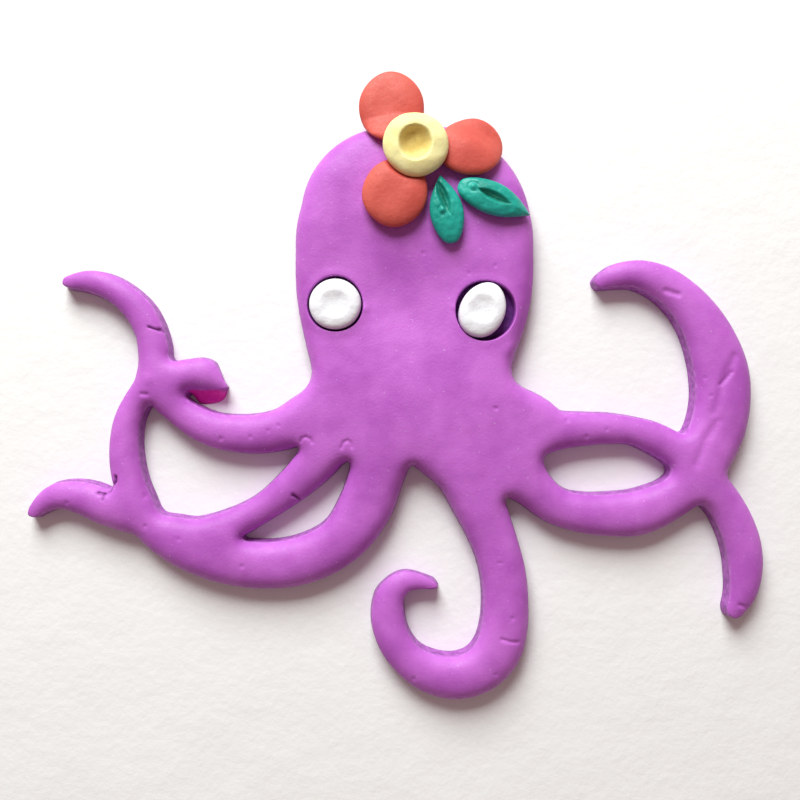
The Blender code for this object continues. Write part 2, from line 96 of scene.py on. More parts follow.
# Pressed lines: points, half width, depth.
CREASES = (
    (((-36.9, 9.1), (-35.8, 8.7), (-34.6, 8.4)), 0.13, 0.5),
    (((-37.9, -0.9), (-37.0, -1.0)), 0.3, 0.2),
    (((-41.8, -13.3), (-41.75, -13.9), (-42.1, -14.4)), 0.2, 0.7),
    (((-42.4, -14.7), (-42.6, -15.5), (-43.5, -15.9), (-44.4, -15.7)), 0.17, 0.4),
    (((-43.5, -15.9), (-43.6, -16.7)), 0.12, 0.3),
    (((-15.3, -16.0), (-14.4, -16.7)), 0.2, 0.6),
    (((-14.1, -8.0), (-13.9, -7.5), (-13.3, -7.3), (-12.6, -7.6), (-12.4, -8.1)), 0.24, 0.2),
    (((-8.0, -8.9), (-7.7, -8.1), (-7.1, -7.8), (-6.6, -8.2), (-6.5, -8.8)), 0.24, 0.18),
    (((15.2, -26.0), (15.9, -26.1)), 0.12, 0.12),
    (((15.8, -37.4), (17.1, -37.8), (18.2, -37.9)), 0.25, 0.2),
    (((40.3, 14.5), (42.1, 13.9)), 0.4, 0.22),
    (((50.3, 4.6), (48.5, 0.5), (47.4, -3.6)), 0.7, 0.22),
    (((47.8, -5.0), (46.0, -7.8), (44.7, -11.3)), 0.7, 0.2),
    (((49.9, 2.3), (48.3, 0.5)), 0.3, 0.16),
    (((51.5, -32.5), (52.9, -33.1)), 0.3, 0.25),
    (((-31.4, -2.3), (-29.3, -3.3), (-26.1, -3.9), (-24.6, -4.2)), 0.14, 0.14),
)

# The sockets that the eyes are pressed into.
SOCKET_FLOOR = 2.5
SOCKET_SIDE = 0.16  # how wide the socket's steep side is
SOCKET_LIP = 0.12  # how high clay is pushed up around it
SOCKET_LIP_WIDTH = 0.7
SOCKET_LIP_OUT = 0.35  # how far outside the socket the lip is highest
SOCKET_WAVE = 0.05  # how far the socket is from a true circle
SOCKET_SPACING = 0.28  # of the points around it
SOCKET_MARGIN = 2.4  # face steps that the other points keep from it
SOCKETS = {"left_eye": (-0.03, 0.05, 4.08), "right_eye": (0.5, -0.04, 4.42)}  # off the eye, radius
CRACK_FROM = 0.25  # depth of a pressed line or pit from which it gets painted shade
CRACK_WIDEST = 0.4
LEAN_FROM = 0.8  # how far the back stands out before the cut edge gets painted magenta shade, the saturated colour of clay in shade lit by bounced light

# The cut edge.
WALL_RINGS = 7
WALL_ROUGHNESS = 0.07
WALL_GRAIN = 0.9  # size of its unevenness along the cut
WALL_LAYER = 0.5  # and down it

# Lumps: rings from pole to pole, points around, and how full their sides are.
RINGS = 56
SPOKES = 112
FULLNESS = 0.8  # 1 is an ellipse, lower is boxier
EYE_FULLNESS = 0.5
EYE_RISE = 0.25  # above the CAD box
EYE_DIMPLE = {"radius": 2.3, "flatness": 2.4, "softness": 1.5}
EYE_DIMPLE_DEPTH = 0.42
EYE_DIMPLE_SQUEEZE = 1.05  # above 1, the dimple is wider than it is high
CLEARANCE = 0.04  # between pieces that are pressed together
REST_REACH = 1.2  # how far around a place the sheet under a piece is felt
REST_SPOKES = 6
REST_LEAST = 2.8  # height taken where the sheet is lower, or where there is none
PROBE_HEIGHT = 30.0  # above everything

# Petals are drawn out towards the flower's middle, under its centre.
PETALS = {
    "upper_petal": {"turn": -140.0, "point": 0.01, "phase": 0.0, "grown": (0.1, 1.3, 0.1, 0.0)},
    "right_petal": {"turn": 100.0, "point": 0.06, "phase": 1.7, "grown": (0.6, -0.15, 0.0, 0.25)},
    "lower_petal": {"turn": -35.0, "point": 0.04, "phase": 3.4, "grown": (0.0, 0.25, 0.1, 0.1)},
}
PETAL_THICKNESS = 2.3
CENTRE_PAD = 0.4  # clay left between the flower's centre and the sheet
PETAL_THINNEST = 0.12
CENTRE_UNDERSIDE_POWER = 2.4
CENTRE_WIDEST = 7.3
CENTRE_REACH = 1.1  # of its radius, as far as it presses on the petals
CENTRE_RISE = 0.2  # above the CAD box
CENTRE_DIMPLE = {"radius": 2.45, "flatness": 4.0, "softness": 1.0}
CENTRE_DIMPLE_DEPTH = 1.65
CENTRE_DIMPLE_OFF = (-0.05, 0.1)  # where the dimple lies from the ball's middle
CENTRE_DIMPLE_SQUEEZE = 0.95  # below 1, the dimple is higher than it is wide

# Camera: straight above the face, and the width that it sees at a level close to the cut edge.
CAMERA_AT = (0.66, -1.82)
CAMERA_HEIGHT = 143.8
VIEW_LEVEL = 2.8
VIEW_WIDTH = 120.0
SENSOR = 36.0

# Light and paper.
PAPER_SIZE = 1400.0
KEY = {"at": (-110.0, 460.0, 330.0), "size": 340.0, "power": 5.55, "colour": (0.93, 1.0, 0.985)}
SKY = (1.0, 0.71, 0.69)
SKY_STRENGTH = 0.27


# ---------------------------------------------------------------- reading the CAD outline


def cad_mesh(name):
    """Points in millimetres and triangles of a CAD node, with points at the same place merged."""
    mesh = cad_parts[name].data
    places = np.array([v.co for v in mesh.vertices]) / MM
    triangles = np.array([p.vertices[:] for p in mesh.polygons])
    points, number = np.unique(places.round(3), axis=0, return_inverse=True)
    return points, number.reshape(-1)[triangles]


def edge_loops():
    """Each loop of the face's edge with the matching loop of the back's edge, outer one first."""
    points, triangles = cad_mesh("body_sheet")
    low = points[:, 2] < 0.001
    wall = triangles[low[triangles].any(axis=1) & ~low[triangles].all(axis=1)]
    ahead, below = {}, {}
    for triangle in wall:
        for i in range(3):
            p, q = int(triangle[i - 1]), int(triangle[i])
            if not low[p] and not low[q]:
                ahead[q] = p
            elif low[p] != low[q]:
                below.setdefault(q if low[p] else p, set()).add(p if low[p] else q)
    for top, lows in below.items():
        below[top] = min(lows, key=lambda n: np.hypot(*(points[n] - points[top])[:2]))
    loops = []
    while ahead:
        start = min(ahead)
        walk = [start]
        here = ahead.pop(start)
        while here != start:
            walk.append(here)
            here = ahead.pop(here)
        loops.append((points[walk], points[[below[n] for n in walk]]))
    return sorted(loops, key=lambda pair: -abs(signed_area(pair[0])))


def signed_area(loop):
    """Area inside a loop, above 0 when it runs anticlockwise."""
    ahead = np.roll(loop, -1, axis=0)
    return float((loop[:, 0] * ahead[:, 1] - ahead[:, 0] * loop[:, 1]).sum() / 2)


def refined(loop, parts):
    """A closed loop with each stretch cut into parts along a smooth curve through its points."""
    before, here = np.roll(loop, 1, axis=0), loop
    ahead, after = np.roll(loop, -1, axis=0), np.roll(loop, -2, axis=0)
    made = []
    for k in range(parts):
        t = k / parts
        made.append(0.5 * (
            2 * here
            + (ahead - before) * t
            + (2 * before - 5 * here + 4 * ahead - after) * t**2
            + (3 * here - before - 3 * ahead + after) * t**3
        ))
    return np.stack(made, axis=1).reshape(-1, loop.shape[1])


def outward(loop):
    """Unit normals that point away from the clay, for loops with the clay on their left."""
    along = np.roll(loop, -1, axis=0) - np.roll(loop, 1, axis=0)
    normal = np.stack([along[:, 1], -along[:, 0]], axis=1)
    return normal / np.linalg.norm(normal, axis=1, keepdims=True)


# ---------------------------------------------------------------- face of the sheet


def hex_points(low, high, step):
    """Points in staggered rows that fill a rectangle."""
    rows = []
    for i, y in enumerate(np.arange(low[1], high[1], step * math.sqrt(3) / 2)):
        x = np.arange(low[0] + (i % 2) * step / 2, high[0], step)
        rows.append(np.column_stack([x, np.full(len(x), y)]))
    return np.concatenate(rows)


def well_inside(points, edge, normal, inset):
    """Which points lie inside the outline by more than the inset."""
    kept = np.zeros(len(points), dtype=bool)
    for first in range(0, len(points), 2000):
        part = points[first:first + 2000]
        gap = part[:, None, :] - edge[None, :, :]
        nearest = (gap**2).sum(axis=2).argmin(axis=1)
        away = gap[np.arange(len(part)), nearest]
        inside = (away * normal[nearest]).sum(axis=1) < 0
        kept[first:first + 2000] = inside & (np.hypot(*away.T) > inset)
    return kept


def triangulate(loops, inner):
    """Triangles between the loops, using the inner points; all points keep their order."""
    points, edges, faces = [], [], []
    for i, loop in enumerate(loops):
        numbers = list(range(len(points), len(points) + len(loop)))
        points += [Vector(p) for p in loop]
        edges += list(zip(numbers, numbers[1:] + numbers[:1]))
        faces.append(numbers[::-1] if i else numbers)
    points += [Vector(p) for p in inner]
    made = geometry.delaunay_2d_cdt(points, edges, faces, 0, 1e-6, True)
    corners, triangles, was_point, was_face = made[0], made[2], made[3], made[5]
    order = np.array([sources[0] for sources in was_point])
    kept = np.array([t for t, sources in zip(triangles, was_face) if list(sources) == [0]])
    flat = np.array([c[:] for c in corners])
    one, two = flat[kept[:, 1]] - flat[kept[:, 0]], flat[kept[:, 2]] - flat[kept[:, 0]]
    turned = one[:, 0] * two[:, 1] - one[:, 1] * two[:, 0] < 0
    kept[turned] = kept[turned][:, ::-1]
    return order[kept]


def halved(points, triangles):
    """Each triangle cut into four, with new points in the middle of its sides."""
    sides = np.concatenate([triangles[:, [0, 1]], triangles[:, [1, 2]], triangles[:, [2, 0]]])
    unique, number = np.unique(np.sort(sides, axis=1), axis=0, return_inverse=True)
    number = number.reshape(-1)
    middle = len(points) + number.reshape(3, -1)
    a, b, c = triangles.T
    ab, bc, ca = middle
    four = np.concatenate([
        np.stack([a, ab, ca], 1), np.stack([ab, b, bc], 1),
        np.stack([ca, bc, c], 1), np.stack([ab, bc, ca], 1),
    ])
    return np.concatenate([points, points[unique].mean(axis=1)]), four


def dome(points, triangles, fixed):
    """0 on the fixed points, rising to 1 inside over DOME_REACH: (1 - reach^2 laplacian) v = 1."""
    corner = points[triangles]
    doubled = np.abs(np.cross(corner[:, 1] - corner[:, 0], corner[:, 2] - corner[:, 0]))
    count = len(points)
    mass = np.bincount(triangles.ravel(), np.repeat(doubled / 6, 3), count)
    ends, weights = [], []
    for k in range(3):
        i, j = (k + 1) % 3, (k + 2) % 3
        u, v = corner[:, i] - corner[:, k], corner[:, j] - corner[:, k]
        ends.append(triangles[:, [i, j]])
        weights.append((u * v).sum(axis=1) / doubled / 2)
    ends, weights = np.concatenate(ends), np.concatenate(weights) * DOME_REACH**2
    free = np.ones(count)
    free[fixed] = 0.0

    def applied(v):
        flow = weights * (v[ends[:, 0]] - v[ends[:, 1]])
        total = np.bincount(ends[:, 0], flow, count) - np.bincount(ends[:, 1], flow, count)
        return (mass * v + total) * free

    value = np.zeros(count)
    left = mass * free
    heading, size = left.copy(), left @ left
    target = size * SOLVER_TOLERANCE**2
    for _ in range(SOLVER_ROUNDS):
        pushed = applied(heading)
        step = size / (heading @ pushed)
        value += step * heading
        left -= step * pushed
        size, before = left @ left, size
        if size < target:
            break
        heading = left + heading * size / before
    return np.clip(value, 0, 1)


def distance_to_line(points, line):
    """Distance of each point from a line of straight stretches."""
    nearest = np.full(len(points), np.inf)
    for start, end in zip(np.array(line[:-1]), np.array(line[1:])):
        along = end - start
        share = np.clip(((points - start) @ along) / (along @ along), 0, 1)
        nearest = np.minimum(nearest, np.hypot(*(points - start - share[:, None] * along).T))
    return nearest


def marks(points):
    """Height that swells, pits, bumps and pressed lines add to the face, and how much painted shade the
    deep pits and narrow lines get.
    """
    x, y = points.T
    height, dark = np.zeros(len(points)), np.zeros(len(points))
    for at_x, at_y, across, up, lift in SWELLS:
        height += lift * np.exp(-(((x - at_x) / across) ** 2) - ((y - at_y) / up) ** 2)
    for at_x, at_y, radius, lift in BUMPS:
        height += lift * np.exp(-((x - at_x) ** 2 + (y - at_y) ** 2) / radius**2)
    # Deep pits and narrow pressed lines also get painted shade in their hollow.
    for at_x, at_y, radius, depth in PITS:
        pressed = np.exp(-((x - at_x) ** 2 + (y - at_y) ** 2) / radius**2)
        height -= depth * pressed
        dark += pressed * (depth > CRACK_FROM)
    for line, half_width, depth in CREASES:
        pressed = np.exp(-((distance_to_line(points, line) / half_width) ** 2))
        height -= depth * pressed
        dark += pressed * (depth > CRACK_FROM and half_width < CRACK_WIDEST)
    return height, np.clip(dark, 0, 1)


def hand_made(points, size, height):
    """Uneven height over a given size, as fingers leave it."""
    return np.array([noise.noise(Vector((x / size, y / size, 0.0))) for x, y in points]) * height


def middle_of(name):
    """Middle of a CAD node's box."""
    low, high = BOXES[name]
    return (low + high) / 2


def socket_circles():
    """Centre and radius of each eye's socket."""
    found = []
    for name, (across, up, radius) in SOCKETS.items():
        middle = middle_of(name)
        found.append((middle[0] + across, middle[1] + up, radius))
    return found


def socket_wave(angle, phase):
    """How far a hand-pressed socket stands off its circle at an angle."""
    return SOCKET_WAVE * np.sin(3 * angle + phase)


def socket_points():
    """Rings of points that let a socket's side be steep."""
    rings = []
    for x, y, radius in socket_circles():
        for offset in (-SOCKET_SIDE, 0.0, SOCKET_SIDE, 2.5 * SOCKET_SIDE):
            count = round(2 * math.pi * (radius + offset) / SOCKET_SPACING)
            angle = 2 * math.pi * np.arange(count) / count
            reach = radius + offset + socket_wave(angle, x)
            rings.append(np.column_stack([x + reach * np.cos(angle), y + reach * np.sin(angle)]))
    return np.concatenate(rings)


def press_sockets(points, height):
    """The face's height with the round sockets pressed in, and how far in a socket each point is, which
    the material paints as dark indigo shade.
    """
    inside = np.zeros(len(points))
    for x, y, radius in socket_circles():
        angle = np.arctan2(points[:, 1] - y, points[:, 0] - x)
        away = np.hypot(points[:, 0] - x, points[:, 1] - y) - radius - socket_wave(angle, x)
        lip = np.exp(-((away - SOCKET_LIP_OUT) / SOCKET_LIP_WIDTH) ** 2) * (away > 0)
        height = height + SOCKET_LIP * lip
        share = np.clip(0.5 + away / (2 * SOCKET_SIDE), 0, 1)
        soft = share**2 * (3 - 2 * share)
        height = SOCKET_FLOOR + (height - SOCKET_FLOOR) * soft
        inside = np.maximum(inside, 1 - soft)
    return height, inside


def sheet_mesh():
    """The face's points, triangles, height and tints of painted shade and painted highlight, and the
    loops of the cut edge.
    """
    pairs = edge_loops()
    rims = [refined(rim, EDGE_PARTS) for rim, _ in pairs]
    bases = [refined(base[:, :2], 2 * EDGE_PARTS) for _, base in pairs]
    flat_rims = [rim[:, :2] for rim in rims]
    edge = np.concatenate(flat_rims)
    normal = np.concatenate([outward(rim) for rim in flat_rims])
    grid = hex_points(edge.min(axis=0), edge.max(axis=0), FACE_STEP)
    for x, y, radius in socket_circles():
        grid = grid[np.abs(np.hypot(grid[:, 0] - x, grid[:, 1] - y) - radius) > SOCKET_MARGIN * FACE_STEP]
    grid = grid[well_inside(grid, edge, normal, FACE_INSET)]
    grid = np.concatenate([grid, socket_points()])
    rim_height = rims[0][:, 2].max()
    face_points, face = halved(np.concatenate([edge, grid]), triangulate(flat_rims, grid))

    sides = np.sort(np.concatenate([face[:, [0, 1]], face[:, [1, 2]], face[:, [2, 0]]]), axis=1)
    unique, uses = np.unique(sides, axis=0, return_counts=True)
    fixed = np.unique(unique[uses == 1])
    rise = 1 - (1 - dome(face_points, face, fixed)) ** DOME_SETTLING
    height = rim_height + CROWN * rise
    pressed, dark = marks(face_points)
    height += pressed * np.clip(rise * MARKS_FADE_IN, 0, 1)
    height += sum(hand_made(face_points, size, lift) for size, lift in FINGER_WAVES) * rise
    # how far in a socket each point is sets the painted shade inside the sockets
    height, socket_shade = press_sockets(face_points, height)
    # rim marks the face's border, where the material paints a light line: a painted highlight along the
    # cut edge
    rim = np.zeros(len(face_points))
    rim[fixed] = 1.0
    return face_points, face, height, {"dark": dark, "socket_shade": socket_shade, "rim": rim}, rims, bases, fixed


def ordered_border(face, fixed):
    """For each border point of the face, the one that follows it with the clay on its left."""
    sides = np.concatenate([face[:, [0, 1]], face[:, [1, 2]], face[:, [2, 0]]])
    count = int(face.max()) + 1
    forward = set(map(int, sides[:, 0].astype(np.int64) * count + sides[:, 1]))
    follows = {}
    for p, q in sides[np.isin(sides[:, 0], fixed) & np.isin(sides[:, 1], fixed)]:
        if int(q) * count + int(p) not in forward:
            follows[int(p)] = int(q)
    return follows


def body_piece(material):
    """The whole sheet as one closed mesh: face, rough cut edge and flat back."""
    face_points, face, height, tints, rims, bases, fixed = sheet_mesh()
    rim_height = rims[0][:, 2].max()
    follows = ordered_border(face, fixed)
    points = [np.column_stack([face_points, height])]
    cut, lean = [np.zeros(len(face_points))], [np.zeros(len(face_points))]
    faces = face.tolist()
    total = len(face_points)
    first, base_numbers = 0, []
    for rim, base in zip(rims, bases):
        walk = [first]
        while follows[walk[-1]] != first:
            walk.append(follows[walk[-1]])
        first += len(rim)
        top = face_points[walk]
        normal = outward(top)
        above = walk
        for ring in range(1, WALL_RINGS + 1):
            share = ring / WALL_RINGS
            z = rim_height * (1 - share)
            uneven = np.array([
                noise.noise(Vector((x / WALL_GRAIN, y / WALL_GRAIN, z / WALL_LAYER))) for x, y in top
            ])
            away = WALL_ROUGHNESS * uneven * math.sin(math.pi * share)
            place = top + (base - top) * share + normal * away[:, None]
            numbers = list(range(total, total + len(top)))
            for i in range(len(top)):
                faces.append([above[i - 1], numbers[i - 1], numbers[i], above[i]])
            points.append(np.column_stack([place, np.full(len(top), z)]))
            # cut marks the cut edge's sides, which the material paints darker: painted shade
            cut.append(np.ones(len(top)))
            # lean is how far the cut edge leans out, which the material paints as magenta shade lit by
            # bounced light
            lean.append(np.clip(np.hypot(*(base - top).T) - LEAN_FROM, 0, 1))
            total += len(top)
            above = numbers
        base_numbers += above
    back = triangulate(bases, [])
    faces += np.array(base_numbers)[back][:, ::-1].tolist()
    made = add_piece("clay_body", np.concatenate(points), faces, material)
    store(made, "cut", np.concatenate(cut))
    store(made, "lean", np.concatenate(lean))
    for name, values in tints.items():
        store(made, name, np.concatenate([values, np.zeros(total - len(values))]))
    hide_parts("body_sheet")
    return made


# ---------------------------------------------------------------- pieces


def add_piece(name, points, faces, material):
    """A smooth piece made of points in millimetres, fixed to the root body."""
    mesh = bpy.data.meshes.new(name)
    mesh.from_pydata((np.asarray(points) * MM).tolist(), [], faces)
    mesh.shade_smooth()
    mesh.materials.append(material)
    made = bpy.data.objects.new(name, mesh)
    bpy.context.scene.collection.objects.link(made)
    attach(made, "root")
    return made


def tint(piece, name, share):
    """Keeps share(x, y) for each point of the piece, which the material reads."""
    store(piece, name, [share(*(v.co / MM)[:2]) for v in piece.data.vertices])


def store(piece, name, values):
    """Keeps a number for each point, which the material reads."""
    attribute = piece.data.attributes.new(name, "FLOAT", "POINT")
    attribute.data.foreach_set("value", np.asarray(values, dtype=np.float32))


def lump(name, plan, height, material, fullness=FULLNESS):
    """A closed lump of clay. plan(angle) is its widest outline; height(x, y, level, reach) is the
    height for a level from 1 on top to -1 underneath and a reach from 0 in the middle to 1."""
    angles = 2 * math.pi * np.arange(SPOKES) / SPOKES
    outline = np.array([plan(a) for a in angles])
    middle = outline.mean(axis=0)
    points = [(*middle, height(*middle, 1.0, 0.0))]
    for ring in range(1, RINGS):
        turn = math.pi * ring / RINGS
        reach = math.sin(turn) ** fullness
        level = math.copysign(abs(math.cos(turn)) ** fullness, math.cos(turn))
        for x, y in middle + (outline - middle) * reach:
            points.append((x, y, height(x, y, level, reach)))
    points.append((*middle, height(*middle, -1.0, 0.0)))
    faces = []
    for i in range(SPOKES):
        j = (i + 1) % SPOKES
        faces.append([0, 1 + i, 1 + j])
        for ring in range(RINGS - 2):
            here, below = 1 + ring * SPOKES, 1 + (ring + 1) * SPOKES
            faces.append([here + i, below + i, below + j, here + j])
        last = 1 + (RINGS - 2) * SPOKES
        faces.append([last + i, len(points) - 1, last + j])
    return add_piece(name, points, faces, material)


def fitted(plan, name, grown=(0.0, 0.0, 0.0, 0.0)):
    """An outline moved and scaled to fill a CAD node's box, grown left, down, right and up."""
    low, high = BOXES[name][0][:2] - grown[:2], BOXES[name][1][:2] + grown[2:]
    loop = np.array([plan(a) for a in np.linspace(0, 2 * math.pi, 240, endpoint=False)])
    least, most = loop.min(axis=0), loop.max(axis=0)

    def placed(angle):
        return low + (np.array(plan(angle)) - least) / (most - least) * (high - low)

    return placed


def pebble_plan(turn=0.0, point=0.0, unevenness=0.0, phase=0.0, stretch=1.0):
    """A round outline, stretched, drawn out to a soft point at its top, turned, with uneven edges."""
    cosine, sine = math.cos(math.radians(turn)), math.sin(math.radians(turn))

    def plan(angle):
        reach = 1 + unevenness * (math.sin(2 * angle + phase) + 0.5 * math.sin(5 * angle + 2 * phase))
        x = math.cos(angle) * reach * (1 - point * (1 + math.sin(angle)))
        y = math.sin(angle) * reach * (1 + point / 2) * stretch
        return x * cosine - y * sine, x * sine + y * cosine

    return plan


def dimple(distance, radius, flatness, softness):
    """1 in the middle of a pressed hollow, falling to 0 at its radius."""
    return max(0.0, 1 - (distance / radius) ** flatness) ** softness


def rest_height(tree, x, y):
    """Mean height of the sheet on and around a point."""
    total = 0.0
    for i in range(REST_SPOKES + 1):
        angle = 2 * math.pi * i / REST_SPOKES
        away = REST_REACH if i else 0.0
        spot = Vector((x + away * math.cos(angle), y + away * math.sin(angle), PROBE_HEIGHT))
        hit = tree.ray_cast(spot, Vector((0, 0, -1)))[0]
        total += max(hit.z, REST_LEAST) if hit else REST_LEAST
    return total / (REST_SPOKES + 1)


def roughened(x, y, phase, size, height):
    """Uneven height of a given size at one place."""
    return noise.noise(Vector((x / size, y / size, phase))) * height


def eye(node, plan, dimple_at, material):
    bottom, top = SOCKET_FLOOR + CLEARANCE, BOXES[node][1][2] + EYE_RISE
    middle = middle_of(node)
    at_x, at_y = middle[:2] + np.array(dimple_at)

    def height(x, y, level, reach):
        z = (bottom + top) / 2 + level * (top - bottom) / 2
        if level > 0:
            away = math.hypot((x - at_x), (y - at_y) * EYE_DIMPLE_SQUEEZE)
            z -= EYE_DIMPLE_DEPTH * dimple(away, **EYE_DIMPLE)
            z += roughened(x, y, middle[0], 1.3, 0.06) + roughened(x, y, middle[1], 0.5, 0.02)
        return z

    made = lump(node + "_disc", fitted(plan, node), height, material, EYE_FULLNESS)
    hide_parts(node)


def centre_underside(x, y, tree):
    """Height of the flower centre's underside, which presses the petals' inner ends down."""
    low, high = BOXES["flower_centre"]
    middle, half = (low + high) / 2, (high - low) / 2
    away = math.hypot((x - middle[0]) / half[0], (y - middle[1]) / half[1])
    if away > CENTRE_REACH:
        return PROBE_HEIGHT
    bottom = rest_height(tree, x, y) + CENTRE_PAD
    return bottom + (CENTRE_WIDEST - bottom) * away**CENTRE_UNDERSIDE_POWER


def petal(node, shape, tree, material):
    phase = shape["phase"]

    def height(x, y, level, reach):
        base = rest_height(tree, x, y) + CLEARANCE
        lid = centre_underside(x, y, tree) - CLEARANCE
        thickness = max(PETAL_THINNEST, min(PETAL_THICKNESS, lid - base))
        z = base + (level + 1) / 2 * thickness
        if level > 0:
            z += roughened(x, y, phase, 3.5, 0.22) * min(1.0, 2 * (1 - reach))
            z += roughened(x, y, phase, 0.7, 0.025)
            z = min(z, max(lid, base + PETAL_THINNEST))
        return z

    plan = pebble_plan(shape["turn"], shape["point"], unevenness=0.014, phase=phase)
    made = lump(node + "_ball", fitted(plan, node, shape["grown"]), height, material)
    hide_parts(node)


def flower_centre(tree, material):
    middle = middle_of("flower_centre")
    top = BOXES["flower_centre"][1][2] + CENTRE_RISE
    off_x, off_y = CENTRE_DIMPLE_OFF

    def height(x, y, level, reach):
        under = centre_underside(x, y, tree)
        if level <= 0:
            return CENTRE_WIDEST + (under - CENTRE_WIDEST) * min(1.0, -level * 1.5)
        z = CENTRE_WIDEST + level * (top - CENTRE_WIDEST)
        z -= CENTRE_DIMPLE_DEPTH * pressed(x, y)
        return z + roughened(x, y, 5.0, 1.6, 0.1) + roughened(x, y, 2.0, 0.5, 0.02)

    def pressed(x, y):
        away = math.hypot(x - middle[0] - off_x, (y - middle[1] - off_y) * CENTRE_DIMPLE_SQUEEZE)
        return dimple(away, **CENTRE_DIMPLE)

    plan = pebble_plan(turn=55.0, point=0.03, unevenness=0.012, phase=1.0)
    made = lump("flower_centre_ball", fitted(plan, "flower_centre"), height, material)
    # painted shade in the pressed dimple, strongest in its middle
    tint(made, "hollow_shade", pressed)
    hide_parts("flower_centre")


LEAVES = {
    "short_leaf": {
        "base": (0.27, 1.0), "tip": (0.64, 0.0), "half_width": 2.5, "widest": 0.56, "ends": (0.8, 0.42),
        "slot": (0.08, 0.6, 0.6), "drift": 0.9, "knob": (0.52, -0.45),
    },
    "long_leaf": {
        "base": (0.05, 0.83), "tip": (1.0, 0.12), "half_width": 2.35, "widest": 0.45, "ends": (0.45, 0.9),
        "slot": (0.24, 0.7, 0.5), "drift": -0.3, "knob": (0.16, 0.2),
    },
}
LEAF_THICKNESS = 2.0
SLOT_DEPTH = 0.85
SLOT_LEAST_WIDTH = 0.05
RIDGE = {"height": 0.25, "off": 0.15, "width": 0.16}  # left standing in the slot
KNOB = {"height": 0.18, "width": 0.4}
KNOB_RING = {"depth": 0.14, "radius": 0.65, "width": 0.22}  # pressed around the knob


def leaf(node, shape, tree, material):
    """A drop with a lens-shaped pressed slot that keeps a thin ridge in its middle."""
    low, high = (corner[:2] for corner in BOXES[node])
    base = low + np.array(shape["base"]) * (high - low)
    tip = low + np.array(shape["tip"]) * (high - low)
    length = float(np.linalg.norm(tip - base))
    along = (tip - base) / length
    across = np.array([-along[1], along[0]])
    bend = math.log(0.5) / math.log(shape["widest"])
    slot_start, slot_end, slot_width = shape["slot"]
    knob_share, knob_side = shape["knob"]

    def plan(angle):
        share = (1 - math.cos(angle)) / 2
        power = shape["ends"][0] * (1 - share) + shape["ends"][1] * share
        width = shape["half_width"] * max(0.0, math.sin(math.pi * share**bend)) ** power
        return base + along * share * length - across * math.copysign(width, math.sin(angle))

    def height(x, y, level, reach):
        place = np.array([x, y]) - base
        share, side = float(place @ along) / length, float(place @ across)
        z = rest_height(tree, x, y) + CLEARANCE + (level + 1) / 2 * LEAF_THICKNESS
        if level > 0:
            inside = (share - slot_start) / (slot_end - slot_start)
            if 0 < inside < 1:
                slot_side = side - shape["drift"] * (inside - 0.5)
                lens = slot_width * math.sin(math.pi * inside) ** 0.8 + SLOT_LEAST_WIDTH
                z -= SLOT_DEPTH * math.exp(-((slot_side / lens) ** 4)) * math.sin(math.pi * inside) ** 0.5
                ridge = math.exp(-(((slot_side - RIDGE["off"]) / RIDGE["width"]) ** 2))
                z += RIDGE["height"] * ridge * math.sin(math.pi * inside)
            knob_away = math.hypot((share - knob_share) * length, side - knob_side)
            ring_away = (knob_away - KNOB_RING["radius"]) / KNOB_RING["width"]
            z += KNOB["height"] * math.exp(-((knob_away / KNOB["width"]) ** 2))
            z -= KNOB_RING["depth"] * math.exp(-(ring_away**2))
            z += roughened(x, y, 4.0, 0.9, 0.08) + roughened(x, y, 6.0, 0.4, 0.03)
        return z

    def slotted(x, y):
        place = np.array([x, y]) - base
        inside = (float(place @ along) / length - slot_start) / (slot_end - slot_start)
        if not 0 < inside < 1:
            return 0.0
        side = float(place @ across) - shape["drift"] * (inside - 0.5)
        return math.exp(-((side / slot_width) ** 2)) * math.sin(math.pi * inside) ** 0.5

    made = lump(node + "_drop", fitted(plan, node), height, material)
    # painted shade in the leaf's pressed slot, strongest along its middle
    tint(made, "hollow_shade", slotted)
    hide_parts(node)


# ---------------------------------------------------------------- materials


class Graph:
    """A material's node tree with short calls for what every clay needs."""

    def __init__(self, name):
        self.material = bpy.data.materials.new(name)
        self.material.use_nodes = True
        self.tree = self.material.node_tree
        self.shader = self.tree.nodes["Principled BSDF"]
        self.place = self.tree.nodes.new("ShaderNodeTexCoord").outputs["Object"]

    def noise(self, size_mm, detail=3.0, roughness=0.55):
        node = self.tree.nodes.new("ShaderNodeTexNoise")
        node.inputs["Scale"].default_value = 1 / (size_mm * MM)
        node.inputs["Detail"].default_value = detail
        node.inputs["Roughness"].default_value = roughness
        self.tree.links.new(self.place, node.inputs["Vector"])
        return node.outputs["Fac"]

    def attribute(self, name):
        node = self.tree.nodes.new("ShaderNodeAttribute")
        node.attribute_name = name
        return node.outputs["Fac"]

    def ranged(self, value, low, high, to_low, to_high):
        node = self.tree.nodes.new("ShaderNodeMapRange")
        for socket, number in zip(node.inputs[1:5], (low, high, to_low, to_high)):
            socket.default_value = number
        self.tree.links.new(value, node.inputs["Value"])
        return node.outputs["Result"]

    def mixed(self, share, one, other):
        node = self.tree.nodes.new("ShaderNodeMix")
        node.data_type = "RGBA"
        for socket, value in ((node.inputs[0], share), (node.inputs[6], one), (node.inputs[7], other)):
            if isinstance(value, bpy.types.NodeSocket):
                self.tree.links.new(value, socket)
            elif isinstance(value, tuple):
                socket.default_value = (*value, 1.0)
            else:
                socket.default_value = value
        return node.outputs[2]

    def bump(self, height, distance_mm, below=None):
        node = self.tree.nodes.new("ShaderNodeBump")
        node.inputs["Strength"].default_value = 1.0
        node.inputs["Distance"].default_value = distance_mm * MM
        self.tree.links.new(height, node.inputs["Height"])
        if below is not None:
            self.tree.links.new(below, node.inputs["Normal"])
        return node.outputs["Normal"]

    def set(self, **values):
        for name, value in values.items():
            socket = self.shader.inputs[name.replace("_", " ")]
            if isinstance(value, bpy.types.NodeSocket):
                self.tree.links.new(value, socket)
            else:
                socket.default_value = value


